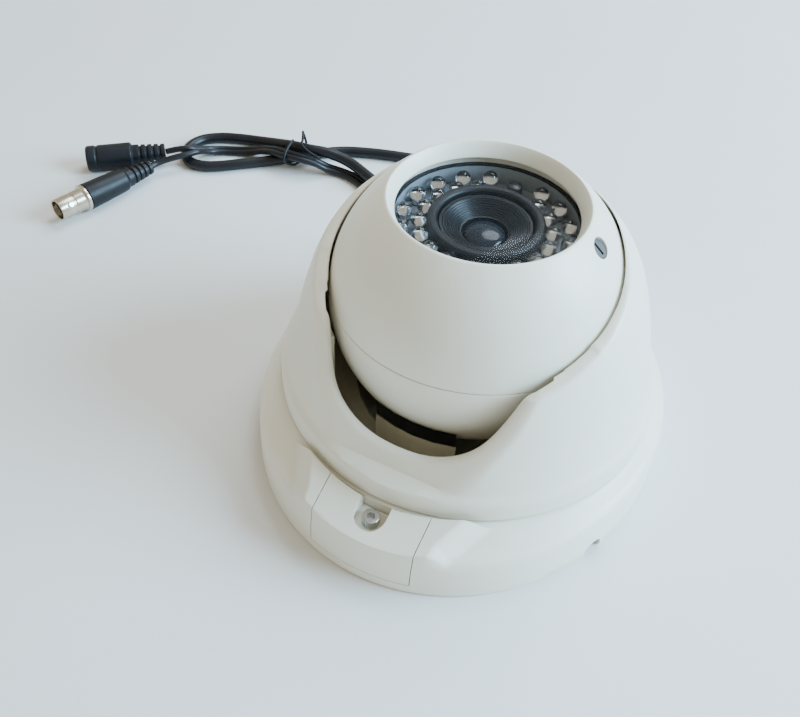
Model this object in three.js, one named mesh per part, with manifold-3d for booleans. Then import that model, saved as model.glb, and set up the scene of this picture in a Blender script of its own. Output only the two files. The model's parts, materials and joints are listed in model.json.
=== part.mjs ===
// Dome CCTV camera: oval surface base, panning yoke cover, three-axis eyeball with varifocal lens.
// Millimetres, +Z up, the base stands on Z = 0, the access door and the yoke's U-cut face -Y.
import * as THREE from "three";
import { mergeVertices } from "three/addons/utils/BufferGeometryUtils.js";
import Module from "manifold-3d";

const wasm = await Module();
wasm.setup();

// ---------------------------------------------------------------- driving dimensions
const GAP = 0.3; // running and assembly clearance

// Oval base
const BASE_HALF_WIDTH = 69.5;
const BASE_HALF_LENGTH = 79.5;
const BASE_TOP = 21.5;
const BASE_WALL = 3.2;
const FLOOR_LOW = 6.0;
const FLOOR_HIGH = 8.5;
const BASE_OPENING_R = 62.0;
const BOSS_SLOPE = 0.4; // raised front boss around the door, rise per mm towards the yoke
const BOSS_HEIGHT_AT_YOKE = 23.4;
const NOTCH_R = 3.6;
const NOTCH_ANGLE = -29.5; // degrees from +X; its twin is opposite
const MOUNT_BOSS_RING = 50.0;

// Access door in the front of the base
const DOOR_HALF_WIDTH = 17.2;
const DOOR_SILL = 4.4;
const DOOR_THICKNESS = 3.0;
const DOOR_SCREW_Y = -69.6;
const DOOR_RECESS_FLOOR = 16.6;

// Yoke
const SKIRT_R = 64.0;
const SKIRT_LOW = 22.0;
const COVER_WALL = 2.6;
const COLLAR_R = 48.4; // spherical inside of the collar round the ball
const DISC_LOW = 13.5;
const DISC_HIGH = 16.5;

// Ball
const BALL_Z = 57.0;
const BALL_R = 47.6;
const BALL_WALL = 3.0;
const SEAM_H = 2.9; // height of the shell seam above the ball's centre
const RIM_R = 30.8;
const RIM_H = 36.3;
const WINDOW_R = 27.6;
const WINDOW_H = 31.3; // height of the window's outer face above the ball's centre
const PIVOT_R = 2.4;
const FOCUS_PORT_TILT = 47.6; // degrees from the lens axis
const ZOOM_PORT_TILT = 58.0;
const PORT_R = 3.3;
const BOARD_SCREWS = [30, 150, 270]; // directions of the LED board's screws

// LEDs
const LED_R = 2.4;
const LED_BOARD_H = 21.4;
const LED_RINGS = [
  { radius: 20.3, count: 18, start: 0 },
  { radius: 25.4, count: 18, start: 10 },
];
const PHOTOCELL = { angle: 90, radius: 23.0 };

// Cable
const CABLE_R = 2.5;
const TAIL_R = 1.4;

const ROUND = 40; // facets of the ball's turned parts
const OVAL = 48; // facets of the base and the yoke's cover
const TIDY = 0.03; // surface deviation allowed when cut edges are simplified
const deg = THREE.MathUtils.degToRad;

// ---------------------------------------------------------------- materials
const paint = (color, roughness, metalness = 0) =>
  new THREE.MeshStandardMaterial({ color, roughness, metalness });
const IVORY = paint(0xe9e6dc, 0.45);
const CREAM = paint(0xdcd6c4, 0.6);
const RUBBER = paint(0x17181a, 0.85);
const CABLE_BLACK = paint(0x1a1c20, 0.6);
const NYLON = paint(0xc9c6bb, 0.5);
const STEEL = paint(0xb9bbbd, 0.3, 1);
const NICKEL = paint(0xc8c4b8, 0.25, 1);
const BLACK_METAL = paint(0x1c1d20, 0.45, 0.3);
const GLASS = new THREE.MeshStandardMaterial({
  color: 0xcfd8dc, roughness: 0.05, metalness: 0, transparent: true, opacity: 0.35,
});
const GREY = paint(0x8d949b, 0.5);
const BOARD = paint(0x2f3b36, 0.6);
const CHIP = paint(0x202226, 0.4);
const LED_CLEAR = paint(0xd7dade, 0.1);
const DARK_GREY = paint(0x4a4c50, 0.6);

// ---------------------------------------------------------------- solid helpers
function solid(geometry) {
  const clean = geometry.clone();
  clean.deleteAttribute("normal");
  clean.deleteAttribute("uv");
  const merged = mergeVertices(clean, 1e-4);
  return new wasm.Manifold(new wasm.Mesh({
    numProp: 3,
    vertProperties: new Float32Array(merged.attributes.position.array),
    triVerts: new Uint32Array(merged.index.array),
  }));
}

function toGeometry(body) {
  const mesh = body.getMesh();
  const geometry = new THREE.BufferGeometry();
  geometry.setAttribute("position", new THREE.BufferAttribute(new Float32Array(mesh.vertProperties), 3));
  geometry.setIndex(new THREE.BufferAttribute(new Uint32Array(mesh.triVerts), 1));
  geometry.computeVertexNormals();
  return geometry;
}

const union = (bodies) => bodies.reduce((sum, body) => sum.add(body));

// A closed profile of [radius, height] pairs turned round Z, whichever way round it is listed.
function turned(profile, segments) {
  const closed = profile[0][0] > 0 ? [...profile, profile[0]] : profile;
  const points = closed.map(([r, z]) => new THREE.Vector2(r, z));
  return new THREE.LatheGeometry(points, segments).rotateX(Math.PI / 2);
}

function revolve(profile, segments = 40) {
  const body = solid(turned(profile, segments));
  return body.volume() > 0 ? body : solid(turned([...profile].reverse(), segments));
}

const ring = (inner, outer, low, high, segments = 40) =>
  revolve([[inner, low], [outer, low], [outer, high], [inner, high]], segments);

const disc = (radius, low, high, segments = 40) =>
  revolve([[0, low], [radius, low], [radius, high], [0, high]], segments);

function block(x0, x1, y0, y1, z0, z1) {
  const geometry = new THREE.BoxGeometry(x1 - x0, y1 - y0, z1 - z0);
  return solid(geometry.translate((x0 + x1) / 2, (y0 + y1) / 2, (z0 + z1) / 2));
}

// A flat outline extruded up Z.
function prism(outline, low, high) {
  const shape = new THREE.Shape(outline.map(([x, y]) => new THREE.Vector2(x, y)));
  const geometry = new THREE.ExtrudeGeometry(shape, { depth: high - low, bevelEnabled: false });
  return solid(geometry.translate(0, 0, low));
}

// A sector of a ring: centre angle and half angle in degrees.
function sector(inner, outer, low, high, centre, half, steps = 12) {
  const outline = [];
  for (let i = 0; i <= steps; i++) {
    const a = deg(centre - half + (2 * half * i) / steps);
    outline.push([outer * Math.cos(a), outer * Math.sin(a)]);
  }
  for (let i = steps; i >= 0; i--) {
    const a = deg(centre - half + (2 * half * i) / steps);
    outline.push([inner * Math.cos(a), inner * Math.sin(a)]);
  }
  return prism(outline, low, high);
}

// Puts a body made along +Z at the given point, with its +Z along the given direction.
function aim(body, point, direction) {
  const turn = new THREE.Quaternion().setFromUnitVectors(
    new THREE.Vector3(0, 0, 1), new THREE.Vector3(...direction).normalize());
  const matrix = new THREE.Matrix4().compose(new THREE.Vector3(...point), turn, new THREE.Vector3(1, 1, 1));
  return body.transform(matrix.elements);
}

const at = (body, x, y, z) => body.translate([x, y, z]);
const polar = (radius, angle) => [radius * Math.cos(deg(angle)), radius * Math.sin(deg(angle))];

function tube(points, radius, sides, steps) {
  const curve = new THREE.CatmullRomCurve3(points.map((p) => new THREE.Vector3(...p)));
  const outline = new THREE.Shape();
  for (let i = 0; i < sides; i++) {
    const a = (2 * Math.PI * i) / sides;
    const corner = [radius * Math.cos(a), radius * Math.sin(a)];
    if (i === 0) outline.moveTo(...corner);
    else outline.lineTo(...corner);
  }
  outline.closePath();
  return solid(new THREE.ExtrudeGeometry(outline, { steps, extrudePath: curve, bevelEnabled: false }));
}

// Points of a circle of the given radius from one height to another, as [radius, height].
function arc(radius, fromH, toH, steps) {
  const from = Math.asin(fromH / radius);
  const to = Math.asin(toH / radius);
  return Array.from({ length: steps + 1 }, (_, i) => {
    const a = from + ((to - from) * i) / steps;
    return [radius * Math.cos(a), radius * Math.sin(a)];
  });
}

const onBall = (body) => at(body, 0, 0, BALL_Z);

// Slice of a sphere round the ball's centre, between two heights above it.
const sphereBand = (radius, low, high) =>
  onBall(revolve([[0, low], ...arc(radius, low, high, Math.ceil((high - low) / 5)), [0, high]], ROUND));

const camera = new THREE.Group();
camera.name = "dome_cctv_camera";

// Sub-part made of one closed body, with slivers left by the cuts tidied away.
function add(name, body, material) {
  const mesh = new THREE.Mesh(toGeometry(body.simplify(TIDY)), material);
  mesh.name = name;
  camera.add(mesh);
}

// ---------------------------------------------------------------- oval base
// Circle at the yoke's edge, oval at the outer wall, blended between the two.
function ovalFromCircle(profile, segments) {
  const stretch = BASE_HALF_LENGTH / BASE_HALF_WIDTH - 1;
  const geometry = turned(profile, segments);
  const position = geometry.attributes.position;
  for (let i = 0; i < position.count; i++) {
    const r = Math.hypot(position.getX(i), position.getY(i));
    const blend = THREE.MathUtils.clamp((r - SKIRT_R) / (BASE_HALF_WIDTH - SKIRT_R), 0, 1);
    position.setY(i, position.getY(i) * (1 + stretch * blend));
  }
  return solid(geometry);
}

const ovalPrism = (inset, low, high) =>
  disc(1, low, high, 56).scale([BASE_HALF_WIDTH - inset, BASE_HALF_LENGTH - inset, 1]);

function baseOutside() {
  const wall = BASE_HALF_WIDTH;
  const shoulder = ovalFromCircle([
    [0, 0], [wall - 0.6, 0], [wall, 0.8], [wall - 0.3, 14.2], [wall - 1.2, 16.4], [wall - 2.8, 17.6],
    [SKIRT_R + 0.2, 21.0], [SKIRT_R - 0.4, BASE_TOP], [0, BASE_TOP],
  ], OVAL);
  const plan = prism([[-36, -46], [-24.5, -70], [-21, -90], [21, -90], [24.5, -70], [36, -46]], 8, 34);
  const boss = plan.intersect(underBoss(0)).intersect(ovalPrism(1.2, 0, 40));
  return shoulder.add(boss).subtract(disc(SKIRT_R + 0.8, BASE_TOP, 40, OVAL));
}

const riseAt = (y) => BOSS_HEIGHT_AT_YOKE + BOSS_SLOPE * (y + SKIRT_R);

// Everything under the boss's sloping top, lowered by the given depth.
const underBoss = (depth) =>
  aim(block(-60, 60, -60, 60, -60, 0), [0, -SKIRT_R, riseAt(-SKIRT_R) - depth], [0, -BOSS_SLOPE, 1]);

const doorPlan = (grow) =>
  block(-DOOR_HALF_WIDTH - grow, DOOR_HALF_WIDTH + grow, -100, -55, DOOR_SILL - grow, 40)
    .subtract(disc(SKIRT_R + 0.9 - grow, 0, 50, OVAL));

// What stays behind the door's panel: deeper than its thickness, with room for the screw recess's tub.
const behindDoor = (depth) => ovalPrism(depth, -1, 40).intersect(underBoss(depth + 0.6))
  .subtract(block(-5 - depth, 5 + depth, -78.5 - depth + 3, -50, DOOR_RECESS_FLOOR - depth, 40));

const doorRecess = (grow) => prism([
  ...Array.from({ length: 11 }, (_, i) => {
    const [x, y] = polar(5.2 - grow, 180 + 18 * i);
    return [x, y + DOOR_SCREW_Y];
  }),
  [5.2 - grow, -60], [-5.2 + grow, -60],
], DOOR_RECESS_FLOOR, 40);

const notch = (angle) => {
  const arch = disc(NOTCH_R, 40, 95, 16).add(block(-0.1, 4, -NOTCH_R, NOTCH_R, 40, 95));
  const lying = arch.rotate([0, 90, 0]).rotate([0, 0, angle]);
  return at(lying, 0, 0, 2.0);
};

function makeBase() {
  const outside = baseOutside();
  const doorSpace = doorPlan(GAP).subtract(behindDoor(DOOR_THICKNESS + GAP));
  const underside = ovalPrism(BASE_WALL, -1, FLOOR_LOW);
  const chamber = ovalPrism(BASE_WALL, FLOOR_HIGH, 13.6).add(disc(BASE_OPENING_R, FLOOR_HIGH, 40, OVAL));
  const hub = ring(29, 41, FLOOR_HIGH - 0.5, DISC_LOW - GAP, 32);
  const mountPlaces = [0, 120, 240].map((angle) => polar(MOUNT_BOSS_RING, angle));
  const mountBosses = mountPlaces.map(([x, y]) => at(disc(6, 0, FLOOR_LOW + 0.5, 20), x, y, 0));
  const mountHoles = mountPlaces.map(([x, y]) => at(disc(2.3, -1, 10, 12), x, y, 0));
  const retainerHoles = [90, 210, 330].map((a) => at(disc(1.3, 10.0, 20, 8), ...polar(32, a), 0));
  const doorScrewPost = at(disc(4.2, FLOOR_LOW + 1, DOOR_RECESS_FLOOR - 3.6, 16), 0, DOOR_SCREW_Y, 0);
  const doorScrewHole = at(disc(1.9, 9, 30, 10), 0, DOOR_SCREW_Y, 0);
  const shell = outside.subtract(chamber).subtract(underside).subtract(doorSpace);
  const housing = union([shell, hub, doorScrewPost, ...mountBosses])
    .subtract(union([...mountHoles, ...retainerHoles, doorScrewHole]))
    .subtract(disc(9, 0, 12, 24))
    .subtract(notch(NOTCH_ANGLE)).subtract(notch(NOTCH_ANGLE + 180));
  add("base_housing", housing, IVORY);

  const doorPanel = doorPlan(0).intersect(outside)
    .subtract(behindDoor(DOOR_THICKNESS))
    .subtract(doorRecess(0))
    .subtract(doorScrewHole);
  add("access_door", doorPanel, IVORY);

  const head = disc(2.8, DOOR_RECESS_FLOOR + GAP, DOOR_RECESS_FLOOR + GAP + 3, 20);
  const shank = disc(1.5, DOOR_RECESS_FLOOR - 6.5, DOOR_RECESS_FLOOR + 1, 10);
  const socket = disc(1.45, DOOR_RECESS_FLOOR + 1.8, 30, 6);
  add("door_screw", at(head.add(shank).subtract(socket), 0, DOOR_SCREW_Y, 0), STEEL);

  const retainer = revolve([
    [30, DISC_LOW], [33.7, DISC_LOW], [33.7, DISC_HIGH + GAP], [38.5, DISC_HIGH + GAP],
    [38.5, 18.2], [30, 18.2],
  ], 32);
  add("pan_retainer", retainer.subtract(union(retainerHoles)), STEEL);
  [90, 210, 330].forEach((angle, i) => {
    const screw = disc(1.8, 18.5, 19.8, 10).add(disc(1.0, 11, 19, 8)).subtract(disc(0.8, 19.1, 21, 6));
    add(`retainer_screw_${i + 1}`, at(screw, ...polar(32, angle), 0), STEEL);
  });
  makeGland();
}

// Rubber gland in the base's centre hole: the cable leaves its side nose under the floor.
// Its top is dished to clear the turning ball.
function makeGland() {
  const plug = revolve([
    [0, 3.2], [9.8, 3.2], [9.8, FLOOR_LOW - GAP], [8.7, FLOOR_LOW - GAP], [8.7, FLOOR_HIGH + GAP],
    [9.8, FLOOR_HIGH + GAP], [9.6, FLOOR_HIGH + 1.0], [7.8, FLOOR_HIGH + 1.0], [6.4, FLOOR_HIGH + 0.1],
    [0, FLOOR_HIGH + 0.1],
  ], 24);
  const nose = revolve([[0, 4], [2.8, 4], [2.7, 20.4], [0, 20.4]], 12);
  const direction = [...polar(1, NOTCH_ANGLE + 180), 0];
  add("cable_gland", plug.add(aim(nose, [0, 0, 2.9], direction)), RUBBER);
}

// ---------------------------------------------------------------- panning yoke
// Half of the U-cut's outline as [half width, height].
const U_CUT = [
  [7.0, 36.0], [13.0, 37.6], [19.2, 40.7], [23.6, 44.6], [26.8, 49.5], [30.0, 57.0], [32.6, 64.3],
  [34.6, 69.5], [38.0, 75.0], [44, 100],
];

// Bell of the cover: [radius, height].
const BELL = [
  [SKIRT_R, SKIRT_LOW], [SKIRT_R, 28.6], [63.2, 29.8], [61.9, 31.2], [58.8, 42], [56.3, 53], [53.2, 63.5],
  [50.4, 70.5], [46.9, 76.8], [42.0, 82.8], [36.4, 88.2], [32, 91],
];

// Everything in front of a leaning plane, kept above the skirt.
function frontWedge(inset) {
  const lean = 22 / 39;
  const y0 = -58.5 + inset;
  const outline = [[y0, 30.6], [-66, 28.8], [-90, 28.8], [-90, 98], [y0 + lean * (98 - 30.6), 98]];
  const shape = new THREE.Shape(outline.map(([y, z]) => new THREE.Vector2(y, z)));
  const geometry = new THREE.ExtrudeGeometry(shape, { depth: 140, bevelEnabled: false });
  geometry.applyMatrix4(new THREE.Matrix4().set(0, 0, 1, -70, 1, 0, 0, 0, 0, 1, 0, 0, 0, 0, 0, 1));
  return solid(geometry);
}

function uCut() {
  const outline = [...U_CUT, ...[...U_CUT].reverse().map(([x, z]) => [-x, z])];
  const shape = new THREE.Shape(outline.map(([x, z]) => new THREE.Vector2(x, z)));
  const geometry = new THREE.ExtrudeGeometry(shape, { depth: 90, bevelEnabled: false });
  return solid(geometry.rotateX(Math.PI / 2));
}

function makeYokeCover() {
  const outside = revolve([[0, SKIRT_LOW], ...BELL, [0, 91]], 56).subtract(frontWedge(0));
  const hollow = revolve([
    [0, SKIRT_LOW - 1], [SKIRT_R - COVER_WALL, SKIRT_LOW - 1], [SKIRT_R - COVER_WALL, 29.2],
    [59.4, 31.4], [56.2, 42], [53.7, 53], [51.9, 60.5], [48.6, 65.5], [0, 65.5],
  ], 56).subtract(frontWedge(COVER_WALL * 1.15));
  const posts = union([45, 135, 225, 315].map((a) =>
    at(disc(3, DISC_HIGH + GAP, 40, 12).subtract(disc(1.3, 0, 28, 8)), ...polar(56.4, a), 0)));
  const postSpace = revolve([
    [0, 10], [SKIRT_R - COVER_WALL + 0.5, 10], [SKIRT_R - COVER_WALL + 0.5, 29.2], [59.8, 31.4],
    [56.6, 42], [0, 42],
  ], OVAL);
  const topSlope = Math.atan(0.36);
  const above = aim(block(-80, 80, -80, 80, 0, 90), [0, 0, 77.5], [0, -Math.sin(topSlope), Math.cos(topSlope)]);
  const cover = outside.subtract(hollow)
    .subtract(sphereBand(COLLAR_R, 2, 36))
    .subtract(above)
    .subtract(uCut())
    .add(posts.intersect(postSpace));
  add("yoke_cover", cover, IVORY);
  [45, 135, 225, 315].forEach((angle, i) => {
    const screw = disc(2.6, 11.2, 13.2, 10).add(disc(1.0, 12, 24, 8)).subtract(disc(1.1, 10, 12.4, 6));
    add(`cover_screw_${i + 1}`, at(screw, ...polar(56.4, angle), 0), STEEL);
  });
}

function makeCradle() {
  const screwHoles = union([45, 135, 225, 315].map((a) => at(disc(1.4, 10, 20, 8), ...polar(56.4, a), 0)));
  const plate = ring(34, 60, DISC_LOW, DISC_HIGH, 56).subtract(screwHoles);
  const wallClear = sphereBand(51, -38, 0);
  const walls = [-90, 90].map((a) => sector(40.6, 43.2, DISC_HIGH - 0.5, 40, a, 19, 6).subtract(wallClear));
  const arms = [0, 180].map((a) => sector(48.9, 50.9, DISC_HIGH - 0.5, 54, a, 51, 12));
  const ears = [0, 180].map((a) => sector(48.9, 50.9, 50, 61, a, 6.5, 4));
  const bushHole = aim(disc(3.6, -70, 70, 16), [0, 0, BALL_Z], [1, 0, 0]);
  add("cradle", union([plate, ...walls, ...arms, ...ears]).subtract(bushHole), CREAM);

  [["front", -90], ["rear", 90]].forEach(([side, angle]) => {
    const pad = sector(40.6, 43.2, 20, 40, angle, 18.6, 6)
      .intersect(sphereBand(50.7, -36, -15))
      .subtract(sphereBand(48.0, -38, -10));
    add(`cradle_pad_${side}`, pad, RUBBER);
  });
  [["right", 1], ["left", -1]].forEach(([side, sign]) => {
    const bush = ring(PIVOT_R + 0.12, 3.3, 48.5, 50.7, 16);
    add(`pivot_bush_${side}`, aim(bush, [0, 0, BALL_Z], [sign, 0, 0]), NYLON);
  });
}

// ---------------------------------------------------------------- ball shells
function makeRearShell() {
  const inner = BALL_R - BALL_WALL;
  const top = SEAM_H - 0.15;
  const bottom = -40;
  const shell = revolve([
    [0, bottom], ...arc(BALL_R, bottom, top, 8), ...arc(inner, top, bottom + 3, 5), [0, bottom + 3],
  ], ROUND);
  const oringGroove = ring(inner - 1, inner + 1.5, top - 1.9, top + 1, ROUND);
  const cableHole = disc(4.6, bottom - 2, bottom + 6, 16);
  const pins = [1, -1].map((s) => aim(disc(PIVOT_R, 46.3, 50.4, 16), [0, 0, 0], [s, 0, 0]));
  add("rear_shell", onBall(union([shell.subtract(oringGroove).subtract(cableHole), ...pins])), IVORY);

  const seal = ring(inner - 0.6, inner + 1.2, top - 1.6, top - 0.2, ROUND);
  add("seal_ring", onBall(seal), RUBBER);
  const grommet = revolve([
    [0, bottom - 5], [3.2, bottom - 5], [6.6, bottom - 1.6], [6.6, bottom - GAP], [4.3, bottom - GAP],
    [4.3, bottom + 3.3], [6.2, bottom + 3.3], [6.2, bottom + 4.6], [0, bottom + 4.6],
  ], 16);
  add("rear_grommet", onBall(grommet), RUBBER);
}

// Ports in the front shell: where each meets the ball, and the direction of its adjuster.
const PORTS = {
  focus: { tilt: FOCUS_PORT_TILT, side: 1, lean: 40.4, length: 26.0 },
  zoom: { tilt: ZOOM_PORT_TILT, side: -1, lean: 48.7, length: 29.8 },
};

function throughPort(body, { tilt, side, lean }) {
  const mouth = [side * BALL_R * Math.sin(deg(tilt)), 0, BALL_R * Math.cos(deg(tilt))];
  return aim(body, mouth, [side * Math.sin(deg(lean)), 0, Math.cos(deg(lean))]);
}

function makeFrontShell() {
  const inner = BALL_R - BALL_WALL;
  const low = SEAM_H + 0.15;
  const profile = [
    ...arc(BALL_R, low, RIM_H, 7),
    [RIM_R - 0.7, RIM_H + 0.25], [WINDOW_R, WINDOW_H + 0.9], [WINDOW_R, WINDOW_H + GAP],
    [29.6, WINDOW_H + GAP], [29.6, 28.0], ...arc(inner, 28.0, low, 4),
  ];
  const sleeve = throughPort(disc(4.6, -5, -1.5, 16), PORTS.zoom);
  const bores = Object.values(PORTS).map((port) =>
    throughPort(disc(PORT_R, -2.6, 6, 16).add(disc(1.45, -16, -2, 10)), port));
  const bosses = BOARD_SCREWS.map((a) => at(disc(2.6, LED_BOARD_H + GAP, 29, 12), ...polar(33, a), 0));
  const screwHoles = BOARD_SCREWS.map((a) => at(disc(1.2, 15, 27, 8), ...polar(33, a), 0));
  const shell = union([revolve(profile, ROUND), sleeve, ...bosses]).subtract(union([...bores, ...screwHoles]));
  add("front_shell", onBall(shell), IVORY);
}

// Slotted adjusters: the head shows in the port, the wheel at the foot drives the lens ring.
function makePortAdjusters() {
  for (const [name, port] of Object.entries(PORTS)) {
    const head = disc(PORT_R - GAP, -2.4, -0.8, 16).subtract(block(-2.1, 2.1, -0.45, 0.45, -1.6, 2));
    const stem = disc(1.0, -port.length, -2.2, 10);
    const wheel = disc(2.4, -port.length, 2 - port.length, 12);
    add(`${name}_adjuster`, onBall(throughPort(union([head, stem, wheel]), port)), DARK_GREY);
  }
}

// ---------------------------------------------------------------- window and LEDs
function makeWindow() {
  add("window_glass", onBall(disc(29.2, WINDOW_H - 2, WINDOW_H, ROUND)), GLASS);
  add("window_gasket", onBall(ring(28.0, 29.3, WINDOW_H - 2.8, WINDOW_H - 2 - GAP, ROUND)), RUBBER);
}

function makeLedBoard() {
  const top = LED_BOARD_H;
  const board = ring(15.6, 36.3, top - 1.6, top, ROUND)
    .subtract(block(22.5, 28.2, -1.7, 1.7, 0, 40))
    .subtract(block(-40, -31.5, -2, 2, 0, 40));
  const holes = union(BOARD_SCREWS.map((a) => at(disc(1.4, 10, 30, 8), ...polar(33, a), 0)));
  add("led_board", onBall(board.subtract(holes)), BOARD);
  const holder = ring(28.2, 29.4, top + GAP, WINDOW_H - 3.1, ROUND).subtract(block(25, 35, -1.7, 1.7, 0, 27.2));
  add("led_holder", onBall(holder), GREY);
  BOARD_SCREWS.forEach((angle, i) => {
    const screw = disc(2.1, 16.6, 19.5, 10).add(disc(0.9, 18, 26, 8)).subtract(disc(0.9, 15, 17.8, 6));
    add(`board_screw_${i + 1}`, onBall(at(screw, ...polar(33, angle), 0)), STEEL);
  });
}

function makeLeds() {
  const base = LED_BOARD_H + GAP;
  const led = revolve([
    [0, base + 0.2], [LED_R, base + 0.2], [LED_R, base + 4.6], [1.4, base + 6.5], [0, base + 6.5],
  ], 6);
  const [px, py] = polar(PHOTOCELL.radius, PHOTOCELL.angle);
  const bodies = [ring(18.4, 27.8, base, base + 0.9, 32)];
  for (const row of LED_RINGS) {
    for (let i = 0; i < row.count; i++) {
      const [x, y] = polar(row.radius, row.start + (360 / row.count) * i);
      if (Math.hypot(x - px, y - py) > 5.6) bodies.push(at(led, x, y, 0));
    }
  }
  const cellHole = at(disc(3.0, 15, 30, 12), px, py, 0);
  const stemSlot = block(24.3, 35, -1.7, 1.7, 0, 40);
  add("led_array", onBall(union(bodies).subtract(cellHole).subtract(stemSlot)), LED_CLEAR);
  const cell = revolve([[0, base], [2.6, base], [2.6, base + 4.8], [2.0, base + 5.4], [0, base + 5.4]], 12);
  add("photocell", onBall(at(cell, px, py, 0)), CHIP);
}

// ---------------------------------------------------------------- lens and boards
function makeLens() {
  const hood = revolve([
    [15.6, LED_BOARD_H + GAP], [17.9, LED_BOARD_H + GAP], [17.9, 28.2], [17.2, 28.9], [15.4, 28.9],
    [14.7, 28.2],
  ], 32);
  add("lens_hood", onBall(hood), RUBBER);

  // Two grooves for the turning rings, stepped front bore for the bezel.
  const barrel = revolve([
    [0, -1], [12, -1], [12, 2.4], [15.2, 2.4], [15.2, 3.2], [13.2, 3.2], [13.2, 8.2], [14.2, 8.2],
    [14.2, 9.6], [13.2, 9.6], [13.2, 14.6], [15.2, 14.6], [15.2, 19.2], [14.2, 19.2], [14.2, 27.2],
    [13.3, 27.2], [13.3, 22.0], [7.0, 22.0], [7.0, 14], [0, 14],
  ], 24);
  add("lens_barrel", onBall(barrel), BLACK_METAL);

  const bezel = [[7.2, 22.3], [13.0, 22.3], [13.0, 27.2]];
  for (let i = 0; i < 4; i++) {
    const r = 12.6 - i * 1.35;
    const h = 27.2 - i * 0.78;
    bezel.push([r, h], [r - 0.7, h - 0.7]);
  }
  bezel.push([7.2, 23.8]);
  add("lens_bezel", onBall(revolve(bezel, 24)), BLACK_METAL);

  const glass = revolve([
    [0, 15.0], [6.7, 15.0], [6.7, 22.2], [5.4, 23.6], [3.2, 24.5], [0, 24.9],
  ], 24);
  add("front_element", onBall(glass), GLASS);

  [["focus_ring", 9.9, 14.3], ["zoom_ring", 3.5, 7.9]].forEach(([name, low, high]) => {
    const knurl = Array.from({ length: 48 }, (_, i) => polar(i % 2 ? 16.1 : 15.4, 7.5 * i));
    add(name, onBall(prism(knurl, low, high).subtract(disc(13.6, 0, 30, 24))), BLACK_METAL);
  });
}

function makeBoards() {
  const holder = revolve([
    [0, -3.6], [8, -3.6], [8, -4.6], [15, -4.6], [15, 2.1], [12.3, 2.1], [12.3, -1.3], [0, -1.3],
  ], 24);
  add("lens_mount", onBall(holder.subtract(block(-5, 5, -4, 4, -6, -3.0))), BLACK_METAL);
  const boardHoles = union([45, 225].map((a) => at(disc(1.4, -40, 40, 8), ...polar(26, a), 0)));
  const square = (half, low, high) => block(-half, half, -half, half, low, high).subtract(boardHoles);
  add("sensor_board", onBall(square(23, -6.6, -5.0)), BOARD);
  add("image_sensor", onBall(block(-4.5, 4.5, -3.5, 3.5, -4.7, -3.3)), CHIP);
  add("main_board", onBall(square(23, -18.6, -17.0)), BOARD);
  [45, 225].forEach((angle, i) => {
    const [x, y] = polar(26, angle);
    const post = disc(2.2, -4.7, LED_BOARD_H - 1.6 - GAP, 10).add(disc(1.1, -6.2, -4, 8));
    add(`module_post_${i + 1}`, onBall(at(post, x, y, 0)), STEEL);
    const spacer = disc(2.2, -16.7, -6.9, 10).add(disc(1.1, -20, -16, 8));
    add(`board_spacer_${i + 1}`, onBall(at(spacer, x, y, 0)), STEEL);
  });
}

// ---------------------------------------------------------------- cable
const MAIN_ROUTE = [
  [-18.2, 10.3, 2.9], [-32, 18.1, 2.7], [-47, 26.6, 2.6], [-62, 35, 2.6], [-71.5, 40.6, 2.6],
  [-78.5, 47.5, 2.6], [-80.5, 57.5, 2.6], [-75.5, 67.5, 2.6], [-64, 75.5, 2.6], [-51, 82, 2.6],
  [-40, 90, 2.6], [-34, 102, 2.6], [-36.5, 115, 2.6], [-47, 125.5, 2.6], [-62, 131, 2.6], [-78, 131.5, 2.6],
  [-93, 128, 2.6], [-106.5, 123.5, 2.6], [-118, 118, 2.6], [-126.2, 110.4, 3.1], [-132.6, 102.6, 3.9],
  [-140, 96, 3.3], [-147.5, 90.2, 2.6], [-154.7, 84, 2.6], [-161.8, 77.9, 2.6], [-168.3, 74, 2.6],
  [-175.4, 73.4, 2.6], [-181, 77.4, 2.6], [-183.5, 84.5, 2.6], [-181.8, 91.6, 2.6], [-175.6, 97.6, 2.6],
  [-167, 101.8, 2.6], [-157, 104.2, 3.2], [-146.5, 103.9, 5.6], [-135.8, 102.3, 8.6], [-127.2, 102.4, 9.5],
  [-119.8, 104.9, 8.9], [-113, 106.6, 7.4], [-106.2, 106.2, 6.3], [-99.7, 103.8, 5.9], [-93, 101.0, 5.6],
  [-85, 99.0, 4.6], [-77.6, 98.6, 3.6],
];
const SPLIT_FROM = [-77.2, 98.6, 3.5];
const SPLIT_TO = [-61.6, 99.6, 3.3];
const PAIR_ROUTE = [
  [-61.2, 99.7, 3.0], [-54.8, 99.4, 2.2], [-50.3, 95.4, 1.6], [-50.8, 89.8, 1.6], [-56, 86.3, 1.6],
  [-64, 85.6, 1.6], [-73, 87.2, 1.6], [-81.5, 90.4, 1.6], [-89.5, 95, 1.6], [-97.3, 100.4, 1.6],
  [-104.5, 103.0, 1.6], [-111, 103.6, 1.6], [-117, 101.8, 3.0], [-121.6, 98.8, 6.2], [-126.4, 96.2, 8.1],
  [-131.4, 95.2, 8.3], [-136.8, 94.9, 8.1], [-142.5, 95.3, 7.5], [-148.5, 95.9, 5.7], [-155, 95.8, 3.1],
  [-161.5, 94.1, 1.7], [-168, 91, 1.6], [-172.6, 86.8, 2.6], [-174.6, 81.8, 4.8],
];
const POWER_END = [[-178.2, 77.4, 6.9], [-182.0, 74.4, 7.1], [-186.9, 70.6, 6.2]];
const VIDEO_END = [
  [-173.9, 76.8, 6.8], [-176.2, 72.2, 7.2], [-179.5, 68.2, 6.9], [-182.9, 64.4, 6.2], [-185.2, 61.0, 5.6],
  [-186.1, 57.9, 5.4],
];
const POWER_AXIS = { tail: [-187.2, 70.35, 6.1], face: [-214.3, 47.0, 6.2] };
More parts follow.
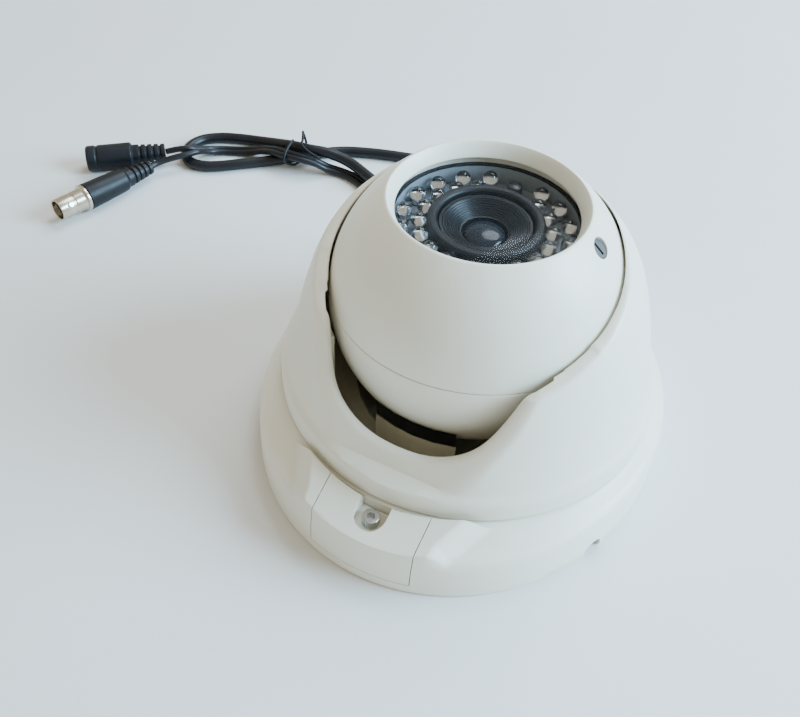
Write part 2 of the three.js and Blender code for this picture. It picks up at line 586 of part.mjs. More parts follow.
const VIDEO_AXIS = { tail: [-186.2, 57.5, 5.4], face: [-198.6, 10.1, 6.6] };

// The pair's route shifted sideways by the given distance in plan.
function beside(route, shift) {
  return route.map((point, i) => {
    const before = route[Math.max(i - 1, 0)];
    const after = route[Math.min(i + 1, route.length - 1)];
    const along = new THREE.Vector2(after[0] - before[0], after[1] - before[1]).normalize();
    return [point[0] + along.y * shift, point[1] - along.x * shift, point[2]];
  });
}

// A turned body laid along an axis; heights in the profile run from the tail end.
function alongAxis(axis, profile, segments) {
  const direction = axis.face.map((value, i) => value - axis.tail[i]);
  return aim(revolve(profile, segments), axis.tail, direction);
}

// Ribbed strain relief: radii at both ends, ribs between them.
function reliefProfile(length, tailRadius, headRadius, ribs) {
  const profile = [[0, 0]];
  for (let i = 0; i < ribs; i++) {
    const low = (length * i) / ribs;
    const r = tailRadius + ((headRadius - tailRadius) * i) / (ribs - 1);
    profile.push([r, low], [r, low + (length / ribs) * 0.62]);
    if (i < ribs - 1) {
      profile.push([r - 0.7, low + (length / ribs) * 0.66], [r - 0.7, low + (length / ribs) * 0.96]);
    }
  }
  profile.push([headRadius, length]);
  return profile;
}

function makeCable() {
  add("main_cable", tube(MAIN_ROUTE, CABLE_R, 8, 70), CABLE_BLACK);
  const split = revolve([[0, 0], [2.9, 0], [3.2, 1.2], [3.2, 9.5], [2.7, 15.6], [0, 15.6]], 12);
  const direction = SPLIT_TO.map((value, i) => value - SPLIT_FROM[i]);
  add("cable_split", aim(split, SPLIT_FROM, direction), CABLE_BLACK);
  const half = TAIL_R + 0.1;
  add("power_tail", tube([...beside(PAIR_ROUTE, half), ...POWER_END], TAIL_R, 8, 44), CABLE_BLACK);
  add("video_tail", tube([...beside(PAIR_ROUTE, -half), ...VIDEO_END], TAIL_R, 8, 44), CABLE_BLACK);
}

function makePowerJack() {
  const body = alongAxis(POWER_AXIS, [
    ...reliefProfile(14.8, 3.9, 4.6, 5), [5.0, 14.8], [5.9, 15.6], [5.9, 34.9], [5.3, 35.6], [4.1, 35.6],
    [4.1, 25], [0, 25],
  ], 16);
  add("power_jack_body", body, RUBBER);
  const sleeve = alongAxis(POWER_AXIS, [[2.9, 25.3], [3.9, 25.3], [3.9, 35.0], [2.9, 35.0]], 20);
  add("power_jack_sleeve", sleeve, NICKEL);
  const pin = alongAxis(POWER_AXIS, [[0, 25.3], [1.0, 25.3], [1.0, 33.4], [0.6, 34], [0, 34]], 10);
  add("power_jack_pin", pin, NICKEL);
}

function makeVideoJack() {
  const body = alongAxis(VIDEO_AXIS, [
    ...reliefProfile(13.6, 3.2, 4.3, 5), [5.2, 14.8], [6.0, 34.6], [0, 34.6],
  ], 16);
  add("video_jack_body", body, RUBBER);
  const shellSolid = revolve([
    [0, 34.9], [6.1, 34.9], [6.1, 36.1], [4.9, 36.6], [4.8, 48.8], [4.1, 48.8], [4.1, 38], [0, 38],
  ], 24);
  const lugs = aim(disc(1.0, -5.9, 5.9, 8), [0, 0, 44.2], [1, 0.35, 0])
    .subtract(disc(4.4, 30, 60, 20));
  const direction = VIDEO_AXIS.face.map((value, i) => value - VIDEO_AXIS.tail[i]);
  add("video_jack_shell", aim(shellSolid.add(lugs), VIDEO_AXIS.tail, direction), NICKEL);
  const insulator = alongAxis(VIDEO_AXIS, [
    [0, 38.3], [3.8, 38.3], [3.8, 40], [2.4, 40], [2.4, 46.4], [1.3, 46.4], [1.3, 39], [0, 39],
  ], 16);
  add("video_jack_insulator", insulator, NYLON);
  const contact = alongAxis(VIDEO_AXIS, [[0, 39.3], [0.9, 39.3], [0.9, 46.8], [0, 46.8]], 8);
  add("video_jack_contact", contact, NICKEL);
}

// Wire tie: one end lies along the cables, a pinched loop stands up, then one turn round the bundle.
const TIE_ROUTE = [
  [-120.5, 99.6, 8.6], [-125.5, 98.9, 10.8], [-129.6, 99.8, 12.7], [-131.0, 102.8, 13.6],
  [-132.3, 105.4, 15.4], [-133.2, 106.6, 14.6], [-132.9, 107.6, 11.4], [-133.0, 108.7, 7.6],
  [-133.1, 108.2, 3.8], [-133.2, 105.6, 1.1],
  [-133.3, 102.4, 0.7], [-133.5, 98.6, 1.1], [-133.8, 94.8, 3.6], [-134.0, 91.6, 6.2], [-134.2, 91.0, 8.6],
  [-134.4, 92.8, 10.8], [-134.6, 96.6, 12.4], [-134.8, 100.4, 13.2],
];

function makeTie() {
  add("cable_tie", tube(TIE_ROUTE, 0.6, 6, 36), RUBBER);
}

makeBase();
makeYokeCover();
makeCradle();
makeRearShell();
makeFrontShell();
makePortAdjusters();
makeWindow();
makeLedBoard();
makeLeds();
makeLens();
makeBoards();
makeCable();
makePowerJack();
makeVideoJack();
makeTie();

export default camera;
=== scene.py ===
"""Dome CCTV camera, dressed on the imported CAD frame: metres, +Z up, the access door faces -Y."""
import json
import math

import bmesh
import bpy
import numpy as np
from mathutils import Matrix, Vector


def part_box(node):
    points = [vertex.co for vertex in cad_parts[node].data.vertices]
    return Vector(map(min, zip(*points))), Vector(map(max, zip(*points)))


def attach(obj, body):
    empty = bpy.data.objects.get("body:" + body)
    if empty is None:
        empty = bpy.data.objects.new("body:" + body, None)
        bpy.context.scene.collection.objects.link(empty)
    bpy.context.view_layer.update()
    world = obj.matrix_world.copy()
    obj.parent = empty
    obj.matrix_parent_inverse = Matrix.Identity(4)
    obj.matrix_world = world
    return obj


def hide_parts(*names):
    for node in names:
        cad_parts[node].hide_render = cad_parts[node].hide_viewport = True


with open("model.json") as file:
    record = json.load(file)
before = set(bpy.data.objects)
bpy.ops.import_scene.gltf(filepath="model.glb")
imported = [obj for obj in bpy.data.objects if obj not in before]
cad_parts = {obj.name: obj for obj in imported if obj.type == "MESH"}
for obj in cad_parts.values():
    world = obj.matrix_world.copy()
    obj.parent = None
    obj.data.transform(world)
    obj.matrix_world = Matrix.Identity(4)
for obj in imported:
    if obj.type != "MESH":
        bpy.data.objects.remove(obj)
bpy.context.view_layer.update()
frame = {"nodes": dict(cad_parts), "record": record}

MM = 0.001
SMOOTH_ANGLE = math.radians(34)


# ------------------------------------------------------------ places read from the frame, in mm
def low_high(node):
    """The CAD node's box in millimetres, as (lowest corner, highest corner)."""
    low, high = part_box(node)
    return [c / MM for c in low], [c / MM for c in high]


SEAT_LOW, SEAT_HIGH = low_high("pivot_bush_right")
BALL_Z = round((SEAT_LOW[2] + SEAT_HIGH[2]) / 2, 2)  # height of the ball's centre
WINDOW_TOP = low_high("window_glass")[1][2]
BOARD_TOP = low_high("led_board")[1][2]
BASE_TOP = 20.9  # inner edge of the shoulder, under the yoke's skirt
BASE_HALF = [69.5, 79.5]  # of the oval, along X and Y
BOSS_REACH = 1.2  # how far inside the wall the raised front boss ends

BALL_R = 47.6
BALL_INNER = 44.6
SEAM_H = 2.9  # the seam between the ball's two shells, above its centre
COLLAR_R = 48.4


# ------------------------------------------------------------ mesh helpers, all in mm
def new_object(name, points, faces):
    mesh = bpy.data.meshes.new(name)
    mesh.from_pydata([[c * MM for c in p] for p in points], [], faces)
    mesh.update()
    made = bpy.data.objects.new(name, mesh)
    bpy.context.scene.collection.objects.link(made)
    outward(mesh)
    return made


def outward(mesh):
    """Turns every face outwards."""
    work = bmesh.new()
    work.from_mesh(mesh)
    bmesh.ops.recalc_face_normals(work, faces=work.faces)
    work.to_mesh(mesh)
    work.free()


def smooth(made, angle=SMOOTH_ANGLE):
    made.data.shade_smooth()
    made.data.set_sharp_from_angle(angle=angle)
    return made


def grid(name, rings, close_rows):
    """A surface through rings of points; a ring of one point closes the end it is on."""
    points, index = [], []
    count = max(len(ring) for ring in rings)
    for ring in rings:
        first = len(points)
        points.extend(ring)
        index.append([first] * count if len(ring) == 1 else list(range(first, first + count)))
    pairs = list(zip(index, index[1:]))
    if close_rows:
        pairs.append((index[-1], index[0]))
    faces = []
    for low, high in pairs:
        for k in range(count):
            after = (k + 1) % count
            corners = list(dict.fromkeys([low[k], low[after], high[after], high[k]]))
            if len(corners) > 2:
                faces.append(corners)
    return new_object(name, points, faces)


def rounded(profile, radius, steps=4):
    """The profile of (radius, height) pairs with a short curve at each corner."""
    loop = profile[0][0] > 0
    result = []
    for i, here in enumerate(profile):
        if not loop and i in (0, len(profile) - 1):
            result.append(here)
            continue
        corner = Vector(here)
        back = Vector(profile[i - 1]) - corner
        ahead = Vector(profile[(i + 1) % len(profile)]) - corner
        if math.pi - back.angle(ahead) < 0.35:
            result.append(here)
            continue
        reach = min(radius, 0.45 * back.length, 0.45 * ahead.length)
        start = corner + back.normalized() * reach
        end = corner + ahead.normalized() * reach
        for k in range(steps + 1):
            t = k / steps
            bent = start * (1 - t) ** 2 + corner * (2 * t * (1 - t)) + end * t ** 2
            result.append((bent.x, bent.y))
    return result


def turn_points(profile, segments):
    """Rings of a profile turned round Z."""
    turns = [2 * math.pi * k / segments for k in range(segments)]
    rings = []
    for radius, height in profile:
        if radius < 1e-6:
            rings.append([(0, 0, height)])
            continue
        rings.append([(radius * math.cos(a), radius * math.sin(a), height) for a in turns])
    return rings


def lathe(name, profile, segments=96, edge=0.0):
    shape = rounded(profile, edge) if edge else profile
    return grid(name, turn_points(shape, segments), close_rows=shape[0][0] > 0)


def disc(radius, low, high, segments=48):
    return lathe("tool", [(0, low), (radius, low), (radius, high), (0, high)], segments)


def tub(radius, low, high, inset):
    """Oval prism of the base's plan, drawn in by the inset."""
    made = disc(radius, low, high, 128)
    made.data.transform(Matrix.Diagonal((BASE_HALF[0] - inset, BASE_HALF[1] - inset, 1, 1)))
    return made


def block(low, high):
    corners = [(x, y, z) for x in (low[0], high[0]) for y in (low[1], high[1]) for z in (low[2], high[2])]
    faces = [(0, 1, 3, 2), (4, 6, 7, 5), (0, 4, 5, 1), (2, 3, 7, 6), (0, 2, 6, 4), (1, 5, 7, 3)]
    return new_object("tool", corners, faces)


def prism(outline, low, high):
    """A flat outline in X and Y between two heights."""
    count = len(outline)
    points = [(x, y, z) for z in (low, high) for x, y in outline]
    sides = [(i, (i + 1) % count, count + (i + 1) % count, count + i) for i in range(count)]
    return new_object("tool", points, [tuple(range(count)), tuple(range(count, 2 * count)), *sides])


def place(made, point, direction=(0, 0, 1)):
    """Moves a piece made along +Z to a point, with its +Z along the direction."""
    turn = Vector((0, 0, 1)).rotation_difference(Vector(direction)).to_matrix().to_4x4()
    made.data.transform(Matrix.Translation(Vector(point) * MM) @ turn)
    return made


def on_ball(made):
    return place(made, (0, 0, BALL_Z))


def bake(made):
    """Puts a new piece's modifiers into its mesh."""
    graph = bpy.context.evaluated_depsgraph_get()
    mesh = bpy.data.meshes.new_from_object(made.evaluated_get(graph), depsgraph=graph)
    made.modifiers.clear()
    made.data = mesh
    return made


def combine(made, tools, operation):
    for tool in tools:
        step = made.modifiers.new(operation, "BOOLEAN")
        step.operation = operation
        step.solver = "MANIFOLD"
        step.object = tool
    bake(made)
    for tool in tools:
        bpy.data.objects.remove(tool)
    return made


def cut(made, *tools):
    return combine(made, tools, "DIFFERENCE")


def join(made, *tools):
    return combine(made, tools, "UNION")


def common(made, tool):
    return combine(made, [tool], "INTERSECT")


def polar(radius, degrees):
    return radius * math.cos(math.radians(degrees)), radius * math.sin(math.radians(degrees))


def arc(radius, low, high, steps):
    """Points of a circle round the ball's centre between two heights."""
    start, end = math.asin(low / radius), math.asin(high / radius)
    turns = [start + (end - start) * k / steps for k in range(steps + 1)]
    return [(radius * math.cos(a), radius * math.sin(a)) for a in turns]


def spline(points, steps):
    """Centripetal Catmull-Rom curve through the points, sampled evenly in each span."""
    knots = [np.array(p, float) for p in points]
    knots = [2 * knots[0] - knots[1], *knots, 2 * knots[-1] - knots[-2]]
    result = []
    for a, b, c, d in zip(knots, knots[1:], knots[2:], knots[3:]):
        t1 = np.linalg.norm(b - a) ** 0.5
        t2 = t1 + np.linalg.norm(c - b) ** 0.5
        t3 = t2 + np.linalg.norm(d - c) ** 0.5
        for k in range(steps):
            t = t1 + (t2 - t1) * k / steps
            ab = a * (t1 - t) / t1 + b * t / t1
            bc = b * (t2 - t) / (t2 - t1) + c * (t - t1) / (t2 - t1)
            cd = c * (t3 - t) / (t3 - t2) + d * (t - t2) / (t3 - t2)
            abc = ab * (t2 - t) / t2 + bc * t / t2
            bcd = bc * (t3 - t) / (t3 - t1) + cd * (t - t1) / (t3 - t1)
            result.append(abc * (t2 - t) / (t2 - t1) + bcd * (t - t1) / (t2 - t1))
    return [*result, knots[-2]]


# ------------------------------------------------------------ materials
def noise(nodes, links, coords, scale, detail=3.0):
    texture = nodes.new("ShaderNodeTexNoise")
    texture.inputs["Scale"].default_value = scale
    texture.inputs["Detail"].default_value = detail
    links.new(coords.outputs["Object"], texture.inputs["Vector"])
    return texture


def finish(name, dark, light, rough, grain, bump, drift=60, **sockets):
    """Principled finish with a colour from dark to light, a varying roughness and a raised grain.

    drift and grain are noise scales per metre; bump is the depth of the grain in metres.
    """
    material = bpy.data.materials.new(name)
    material.use_nodes = True
    nodes, links = material.node_tree.nodes, material.node_tree.links
    shader = nodes["Principled BSDF"]
    coords = nodes.new("ShaderNodeTexCoord")

    ramp = nodes.new("ShaderNodeValToRGB")
    ramp.color_ramp.elements[0].position = 0.32
    ramp.color_ramp.elements[1].position = 0.68
    ramp.color_ramp.elements[0].color = (*dark, 1)
    ramp.color_ramp.elements[1].color = (*light, 1)
    links.new(noise(nodes, links, coords, drift).outputs["Fac"], ramp.inputs["Fac"])
    links.new(ramp.outputs["Color"], shader.inputs["Base Color"])

    spread = nodes.new("ShaderNodeMapRange")
    spread.inputs["To Min"].default_value = rough[0]
    spread.inputs["To Max"].default_value = rough[1]
    links.new(noise(nodes, links, coords, drift * 4, 5).outputs["Fac"], spread.inputs["Value"])
    links.new(spread.outputs["Result"], shader.inputs["Roughness"])

    relief = nodes.new("ShaderNodeBump")
    relief.inputs["Distance"].default_value = bump
    relief.inputs["Strength"].default_value = 0.6
    links.new(noise(nodes, links, coords, grain, 4).outputs["Fac"], relief.inputs["Height"])
    links.new(relief.outputs["Normal"], shader.inputs["Normal"])
    for socket, value in sockets.items():
        shader.inputs[socket.replace("_", " ")].default_value = value
    return material


def glass_sheet():
    return finish("window", (0.03, 0.035, 0.04), (0.04, 0.045, 0.05), (0.02, 0.05), 300, 0.000004, 40,
                  Alpha=0.07, IOR=1.5)


MATERIALS = {
    "ivory_housing": finish("ivory_paint", (0.78, 0.755, 0.65), (0.82, 0.795, 0.69), (0.36, 0.48),
                            900, 0.00004, 25, Coat_Weight=0.15, Coat_Roughness=0.35),
    "cream_plastic": finish("cream_plastic", (0.66, 0.62, 0.48), (0.72, 0.68, 0.54), (0.45, 0.6),
                            1500, 0.00003),
    "black_rubber": finish("black_rubber", (0.003, 0.004, 0.006), (0.007, 0.009, 0.013), (0.38, 0.52),
                           2500, 0.00003, Specular_IOR_Level=0.3),
    "white_nylon": finish("white_nylon", (0.55, 0.54, 0.48), (0.62, 0.61, 0.55), (0.35, 0.5),
                          1500, 0.00002),
    "steel": finish("steel", (0.40, 0.41, 0.42), (0.52, 0.53, 0.54), (0.16, 0.3),
                    2500, 0.00002, 200, Metallic=1.0),
    "dark_plastic": finish("dark_plastic", (0.05, 0.052, 0.056), (0.07, 0.072, 0.076), (0.4, 0.55),
                           1800, 0.00003),
    "clear_window": glass_sheet(),
    "clear_led": finish("led_epoxy", (0.93, 0.94, 0.95), (0.97, 0.98, 0.98), (0.01, 0.05),
                        700, 0.000004, Transmission_Weight=1.0, IOR=1.5),
    "grey_plastic": finish("grey_plastic", (0.20, 0.235, 0.27), (0.25, 0.285, 0.32), (0.4, 0.55),
                           1500, 0.00003),
    "board": finish("circuit_board", (0.014, 0.045, 0.03), (0.024, 0.065, 0.042), (0.3, 0.45),
                    1200, 0.00005, 300),
    "chip": finish("chip", (0.012, 0.012, 0.014), (0.02, 0.02, 0.022), (0.25, 0.4), 2000, 0.00002, 300),
    "black_lens": finish("anodised_black", (0.003, 0.006, 0.009), (0.006, 0.010, 0.014), (0.34, 0.46),
                         3000, 0.00002, 200, Specular_IOR_Level=0.3),
    "cable_jacket": finish("cable_jacket", (0.003, 0.004, 0.006), (0.007, 0.008, 0.012), (0.34, 0.46),
                           1400, 0.00004, 90, Specular_IOR_Level=0.35),
    "nickel": finish("nickel", (0.52, 0.47, 0.38), (0.64, 0.58, 0.48), (0.16, 0.34),
                     1200, 0.00003, 260, Metallic=1.0),
}
FLOOR = finish("floor", (0.72, 0.72, 0.71), (0.75, 0.75, 0.74), (0.6, 0.75), 500, 0.00005, 4)
COATED_GLASS = finish("coated_glass", (0.010, 0.016, 0.024), (0.016, 0.024, 0.036), (0.12, 0.2),
                      200, 0.00001, 80, Specular_IOR_Level=0.35)
BRIGHT_CUP = finish("led_cup", (0.70, 0.72, 0.74), (0.85, 0.86, 0.88), (0.12, 0.22),
                    900, 0.00002, 200, Metallic=1.0)


def dress(made, slot, body, *nodes, material=None):
    """Gives a new piece its finish, its CAD body and the CAD nodes that it stands for."""
    made.data.materials.clear()
    made.data.materials.append(material or MATERIALS[slot])
    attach(made, body)
    if nodes:
        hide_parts(*nodes)
    return made


# ------------------------------------------------------------ camera
LENS_MM = 40.5
CAMERA_AT = (0.070967, -0.206104, 0.249534)
CAMERA_RIGHT = (0.88663, 0.46089, 0.03827)
CAMERA_UP = (-0.3566, 0.62861, 0.69115)


def make_camera():
    data = bpy.data.cameras.new("camera")
    data.lens = LENS_MM
    data.sensor_width = 36
    data.clip_start = 0.005
    eye = bpy.data.objects.new("camera", data)
    bpy.context.scene.collection.objects.link(eye)
    right = Vector(CAMERA_RIGHT).normalized()
    up = Vector(CAMERA_UP).normalized()
    back = right.cross(up)
    turn = Matrix((right, up, back)).transposed().to_4x4()
    eye.matrix_world = Matrix.Translation(CAMERA_AT) @ turn
    bpy.context.scene.camera = eye


# ------------------------------------------------------------ cords, the same routes as the CAD's
MAIN_ROUTE = [
    (-18.2, 10.3, 2.9), (-32, 18.1, 2.7), (-47, 26.6, 2.6), (-62, 35, 2.6), (-71.5, 40.6, 2.6),
    (-78.5, 47.5, 2.6), (-80.5, 57.5, 2.6), (-75.5, 67.5, 2.6), (-64, 75.5, 2.6), (-51, 82, 2.6),
    (-40, 90, 2.6), (-34, 102, 2.6), (-36.5, 115, 2.6), (-47, 125.5, 2.6), (-62, 131, 2.6), (-78, 131.5, 2.6),
    (-93, 128, 2.6), (-106.5, 123.5, 2.6), (-118, 118, 2.6), (-126.2, 110.4, 3.1), (-132.6, 102.6, 3.9),
    (-140, 96, 3.3), (-147.5, 90.2, 2.6), (-154.7, 84, 2.6), (-161.8, 77.9, 2.6), (-168.3, 74, 2.6),
    (-175.4, 73.4, 2.6), (-181, 77.4, 2.6), (-183.5, 84.5, 2.6), (-181.8, 91.6, 2.6), (-175.6, 97.6, 2.6),
    (-167, 101.8, 2.6), (-157, 104.2, 3.2), (-146.5, 103.9, 5.6), (-135.8, 102.3, 8.6), (-127.2, 102.4, 9.5),
    (-119.8, 104.9, 8.9), (-113, 106.6, 7.4), (-106.2, 106.2, 6.3), (-99.7, 103.8, 5.9), (-93, 101.0, 5.6),
    (-85, 99.0, 4.6), (-77.6, 98.6, 3.6),
]
SPLIT_FROM = (-77.2, 98.6, 3.5)
SPLIT_TO = (-61.6, 99.6, 3.3)
PAIR_ROUTE = [
    (-61.2, 99.7, 3.0), (-54.8, 99.4, 2.2), (-50.3, 95.4, 1.6), (-50.8, 89.8, 1.6), (-56, 86.3, 1.6),
    (-64, 85.6, 1.6), (-73, 87.2, 1.6), (-81.5, 90.4, 1.6), (-89.5, 95, 1.6), (-97.3, 100.4, 1.6),
    (-104.5, 103.0, 1.6), (-111, 103.6, 1.6), (-117, 101.8, 3.0), (-121.6, 98.8, 6.2), (-126.4, 96.2, 8.1),
    (-131.4, 95.2, 8.3), (-136.8, 94.9, 8.1), (-142.5, 95.3, 7.5), (-148.5, 95.9, 5.7), (-155, 95.8, 3.1),
    (-161.5, 94.1, 1.7), (-168, 91, 1.6), (-172.6, 86.8, 2.6), (-174.6, 81.8, 4.8),
]
POWER_END = [(-178.2, 77.4, 6.9), (-182.0, 74.4, 7.1), (-186.9, 70.6, 6.2)]
VIDEO_END = [
    (-173.9, 76.8, 6.8), (-176.2, 72.2, 7.2), (-179.5, 68.2, 6.9), (-182.9, 64.4, 6.2), (-185.2, 61.0, 5.6),
    (-186.1, 57.9, 5.4),
]
TIE_ROUTE = [
    (-120.5, 99.6, 8.6), (-125.5, 98.9, 10.8), (-129.6, 99.8, 12.7), (-131.0, 102.8, 13.6),
    (-132.3, 105.4, 15.4), (-133.2, 106.6, 14.6), (-132.9, 107.6, 11.4), (-133.0, 108.7, 7.6),
    (-133.1, 108.2, 3.8), (-133.2, 105.6, 1.1), (-133.3, 102.4, 0.7), (-133.5, 98.6, 1.1),
    (-133.8, 94.8, 3.6), (-134.0, 91.6, 6.2), (-134.2, 91.0, 8.6), (-134.4, 92.8, 10.8),
    (-134.6, 96.6, 12.4), (-134.8, 100.4, 13.2),
]
MAIN_R = 2.5
TAIL_R = 1.4
TIE_R = 0.6
POWER_AXIS = ((-187.2, 70.35, 6.1), (-214.3, 47.0, 6.2))
VIDEO_AXIS = ((-186.2, 57.5, 5.4), (-198.6, 10.1, 6.6))


def beside(route, shift):
    """The pair's route moved sideways in plan."""
    result = []
    for i, point in enumerate(route):
        before, after = route[max(i - 1, 0)], route[min(i + 1, len(route) - 1)]
        along = Vector((after[0] - before[0], after[1] - before[1])).normalized()
        result.append((point[0] + along.y * shift, point[1] - along.x * shift, point[2]))
    return result


def curve_along(name, route, radius, steps=8):
    """A round curve of one open spline; returns it with its real length in metres."""
    points = [Vector(p) * MM for p in spline(route, steps)]
    data = bpy.data.curves.new(name, "CURVE")
    data.dimensions = "3D"
    data.bevel_depth = radius * MM
    data.bevel_resolution = 6
    data.use_fill_caps = True
    line = data.splines.new("POLY")
    line.points.add(len(points) - 1)
    for target, point in zip(line.points, points):
        target.co = (*point, 1)
    made = bpy.data.objects.new(name, data)
    bpy.context.scene.collection.objects.link(made)
    return made, sum((b - a).length for a, b in zip(points, points[1:]))


def relief(length, tail_r, head_r, ribs):
    """Ribbed strain relief as (radius, distance) pairs from the cord's side."""
    profile = [(0, 0)]
    pitch = length / ribs
    for i in range(ribs):
        r = tail_r + (head_r - tail_r) * i / (ribs - 1)
        profile += [(r, i * pitch), (r, (i + 0.62) * pitch)]
        if i < ribs - 1:
            profile += [(r - 0.7, (i + 0.66) * pitch), (r - 0.7, (i + 0.96) * pitch)]
    return [*profile, (head_r, length)]


def along_axis(made, axis):
    return place(made, axis[0], Vector(axis[1]) - Vector(axis[0]))


def make_power_jack():
    body = relief(14.8, 3.9, 4.6, 5) + [
        (5.0, 14.8), (5.9, 15.6), (5.9, 30.2), (5.5, 30.5), (5.5, 31.3), (5.9, 31.6), (5.9, 34.9),
        (5.3, 35.6), (4.1, 35.6), (4.1, 25), (0, 25),
    ]
    jack = along_axis(smooth(lathe("power_jack", body, 64, 0.3)), POWER_AXIS)
    return [dress(jack, "black_rubber", "base", "power_jack_body")]


def make_video_jack():
    body = relief(13.6, 3.2, 4.3, 5) + [(5.2, 14.8), (5.6, 24.0), (6.0, 34.6), (0, 34.6)]
    jack = along_axis(smooth(lathe("video_jack", body, 64, 0.35)), VIDEO_AXIS)
    dress(jack, "black_rubber", "base", "video_jack_body")
    shell = lathe("video_shell", [
        (0, 34.9), (6.1, 34.9), (6.1, 36.1), (4.9, 36.6), (4.85, 41.0), (4.6, 41.2), (4.6, 41.9),
        (4.85, 42.1), (4.8, 48.8), (4.1, 48.8), (4.1, 38), (0, 38),
    ], 64, 0.25)
    lugs = place(disc(1.0, -5.9, 5.9, 24), (0, 0, 44.2), (1, 0.35, 0))
    cut(lugs, disc(4.4, 30, 60, 64))
    shell = along_axis(smooth(join(shell, lugs)), VIDEO_AXIS)
    dress(shell, "nickel", "base", "video_jack_shell")
    return [jack, shell]


def make_cords():
    main, main_length = curve_along("pigtail", MAIN_ROUTE, MAIN_R)
    dress(main, "cable_jacket", "base", "main_cable")
    body = [(0, 0), (2.9, 0), (3.2, 1.2), (3.2, 9.5), (2.7, 15.6), (0, 15.6)]
    split = lathe("pigtail_split", body, 48, 0.5)
    along_axis(smooth(split), (SPLIT_FROM, SPLIT_TO))
    dress(split, "cable_jacket", "base", "cable_split")
    tie, _ = curve_along("wire_tie", TIE_ROUTE, TIE_R)
    dress(tie, "black_rubber", "base", "cable_tie")
    half = TAIL_R + 0.1
    ends = {
        "power": ([*beside(PAIR_ROUTE, half), *POWER_END],
                  [*make_power_jack(), "power_jack_sleeve", "power_jack_pin"]),
        "video": ([*beside(PAIR_ROUTE, -half), *VIDEO_END],
                  [*make_video_jack(), "video_jack_insulator", "video_jack_contact"]),
    }
    for name, (route, carried) in ends.items():
        tail, length = curve_along(f"{name}_lead", route, TAIL_R)
        dress(tail, "cable_jacket", "base", f"{name}_tail")


# ------------------------------------------------------------ oval base and its door
WALL_PROFILE = [  # (radius, height) of the outer shoulder, from the wall's foot to the yoke's edge
    (68.9, 0), (69.3, 0.25), (69.5, 0.8), (69.45, 5), (69.3, 12.4), (69.1, 14.0), (68.7, 15.5),
    (68.1, 16.4), (66.9, 17.4), (65.6, 19.1), (64.6, 20.3), (64.2, 20.6), (63.6, BASE_TOP),
]
WALL_THICK = 3.2
YOKE_HOLE_R = 62  # opening that the yoke turns in
LEDGE_Z = 13.6
FLOOR_LOW, FLOOR_HIGH = 6, 8.5
BEARING_INNER, BEARING_OUTER, BEARING_TOP = 29, 41, 13.2  # raised ring that the yoke turns on
CENTRE_HOLE_R = 9
MOUNT_HOLES = [polar(50, a) for a in (0, 120, 240)]
RETAINER_HOLES = [polar(32, a) for a in (90, 210, 330)]
BOSS_OUTLINE = [(-90, 21), (-70, 24.5), (-46, 36)]  # (y, half width) of the raised front boss
BOSS_INNER_R = 64.8
BOSS_SLOPE = 0.4
BOSS_AT_YOKE = 23.4
DOOR_HALF = 17.2
DOOR_SILL = 4.4
DOOR_THICK = 3.0
DOOR_GAP = 0.3
SCREW_Y = -69.6
RECESS_R = 5.2
RECESS_FLOOR = 16.6


def step(value, width):
    """Smooth rise from 0 to 1 as value goes from -width to +width."""
    t = np.clip(0.5 + 0.5 * value / width, 0, 1)
    return t * t * (3 - 2 * t)


def fine_turns(middle, half, fine, coarse):
    """Angles right round, close together within half of the middle one, in degrees."""
    near = np.arange(middle - half, middle + half, fine)
    far = np.arange(middle + half, middle - half + 360, coarse)
    return np.radians(np.concatenate([near, far]))


def base_ring(radius, height, turns, raised=True):
    """One ring of the base's outside: round at the yoke, oval at the wall, raised at the front boss."""
    blend = min(max((radius - 64) / (BASE_HALF[0] - 64), 0), 1)
    x = radius * np.cos(turns)
    y = radius * np.sin(turns) * (1 + (BASE_HALF[1] / BASE_HALF[0] - 1) * blend)
    z = np.full_like(x, height)
    if raised:
        ys, widths = zip(*BOSS_OUTLINE)
        inside = step(np.interp(y, ys, widths) - np.abs(x), 3.5)
        oval = 1 - np.hypot(x / (BASE_HALF[0] - BOSS_REACH), y / (BASE_HALF[1] - BOSS_REACH))
        inside = inside * step(oval * BASE_HALF[1], 0.35) * (y < 0)
        top = BOSS_AT_YOKE + BOSS_SLOPE * (y + 64)
        z = z + np.maximum(top - z, 0) * inside
    return list(zip(x.tolist(), y.tolist(), z.tolist()))


def base_outside_rings(turns):
    """The outside from the wall's foot to the yoke's edge."""
    radii, heights = zip(*reversed(WALL_PROFILE[3:]))
    rings = [base_ring(r, z, turns, raised=False) for r, z in WALL_PROFILE[:4]]
    shoulder = np.linspace(69.3, BOSS_INNER_R, 30)
    rings += [base_ring(r, np.interp(r, radii, heights), turns) for r in shoulder]
    rings += [base_ring(r, np.interp(r, radii, heights), turns, raised=False) for r in (64.75, 64.3, 63.6)]
    return rings


def oval_ring(radius_x, radius_y, height, turns):
    return [(radius_x * math.cos(a), radius_y * math.sin(a), height) for a in turns]


